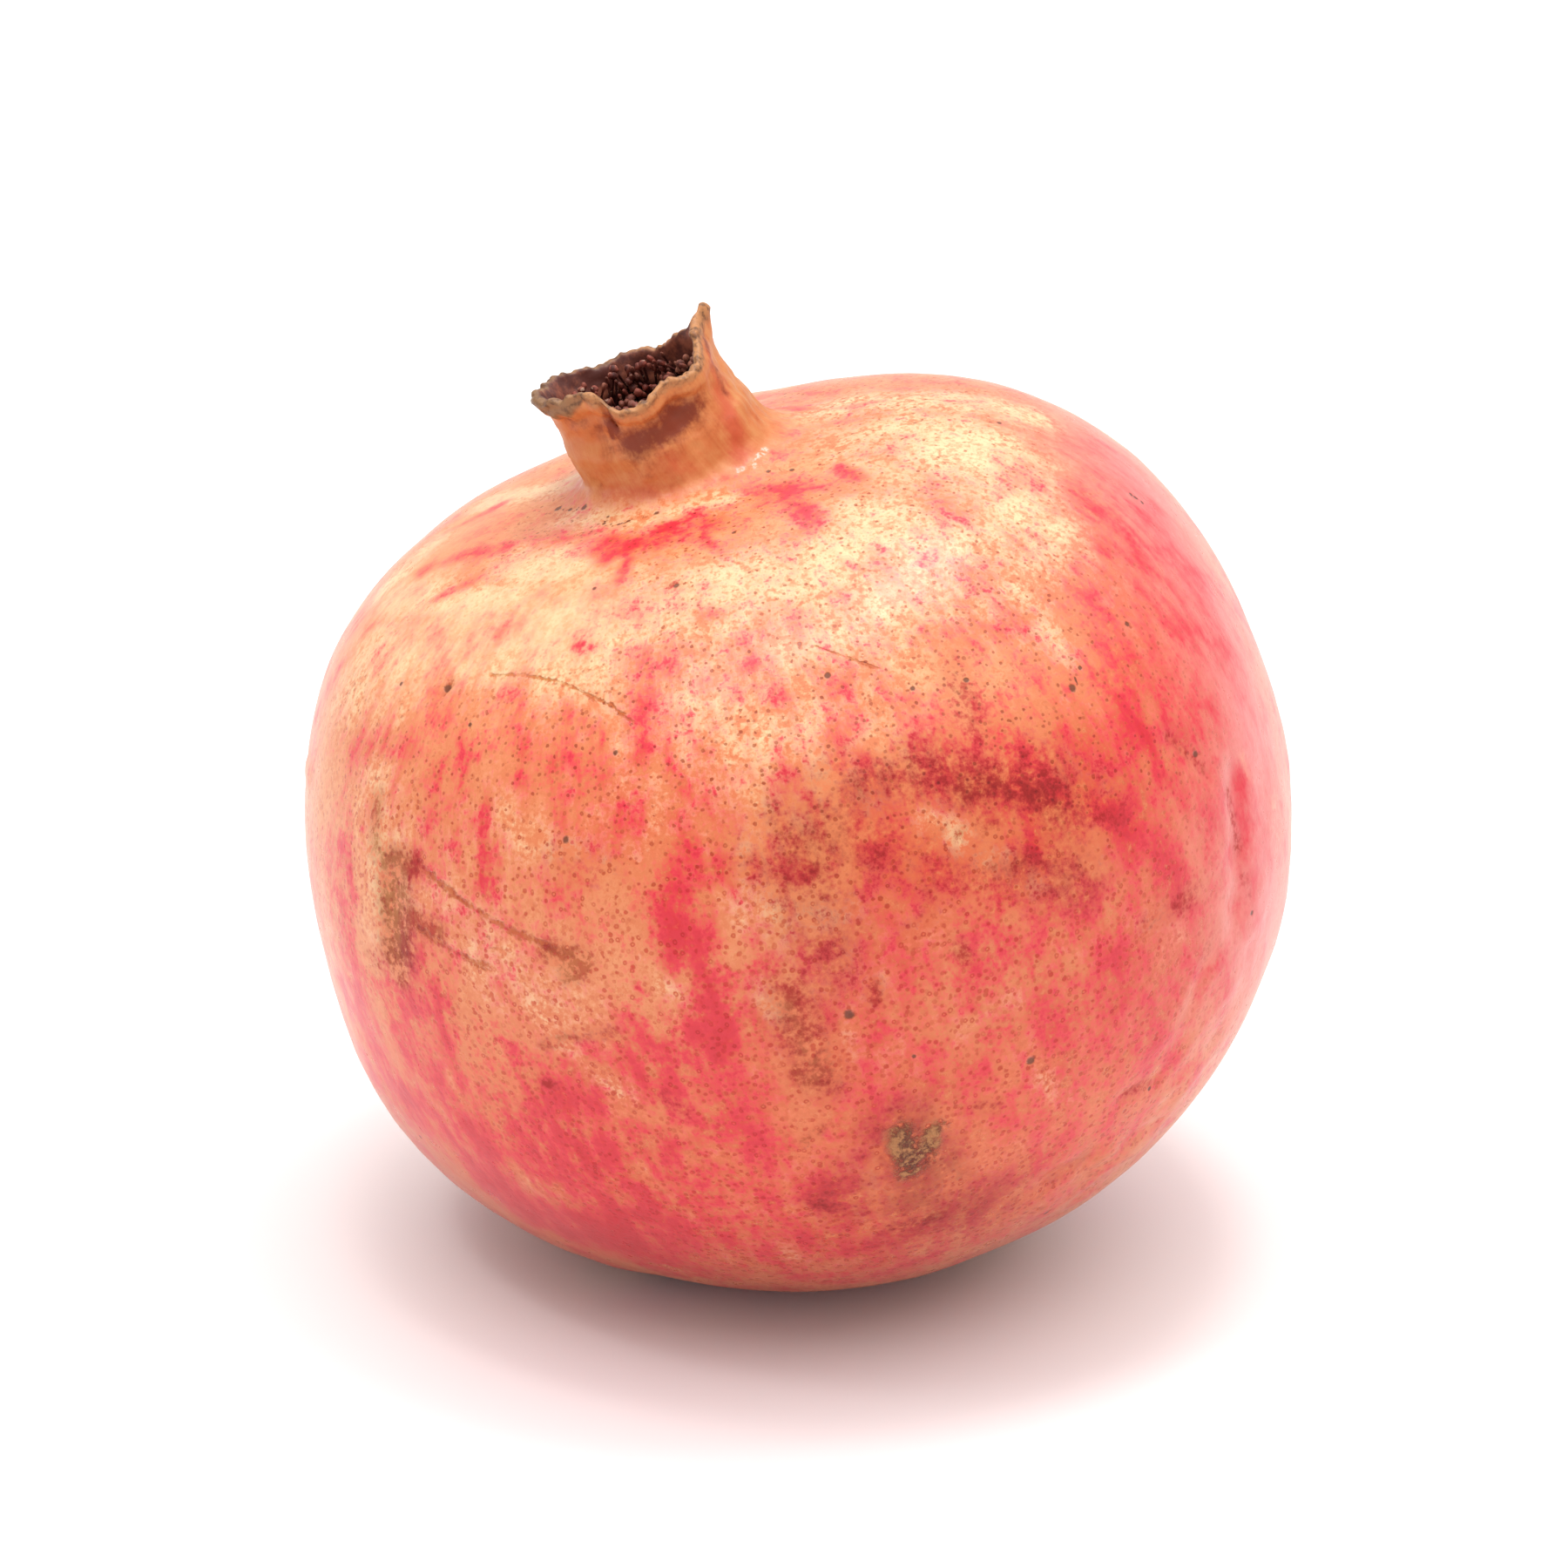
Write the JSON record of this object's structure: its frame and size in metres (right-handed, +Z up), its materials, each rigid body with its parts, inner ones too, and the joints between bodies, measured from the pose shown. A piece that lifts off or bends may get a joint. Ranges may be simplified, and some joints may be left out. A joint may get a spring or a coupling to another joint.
{
  "type": "pomegranate",
  "caption": "Whole ripe pomegranate with a leaning torn crown and dried stamens in its cup, resting on a small flat spot.",
  "frame": {"origin": "middle of the small flat spot that the fruit rests on, on the surface under it", "axes": "+Z up; seen along +Y the crown leans to the left, towards -X, and a little forwards, towards -Y"},
  "size_m": [0.0941, 0.0936, 0.0933],
  "materials": {
    "rind": "satin",
    "stamens": "matte"
  },
  "bodies": {
    "root": {"fruit": "rind", "dried_stamens": "stamens"}
  },
  "joints": []
}
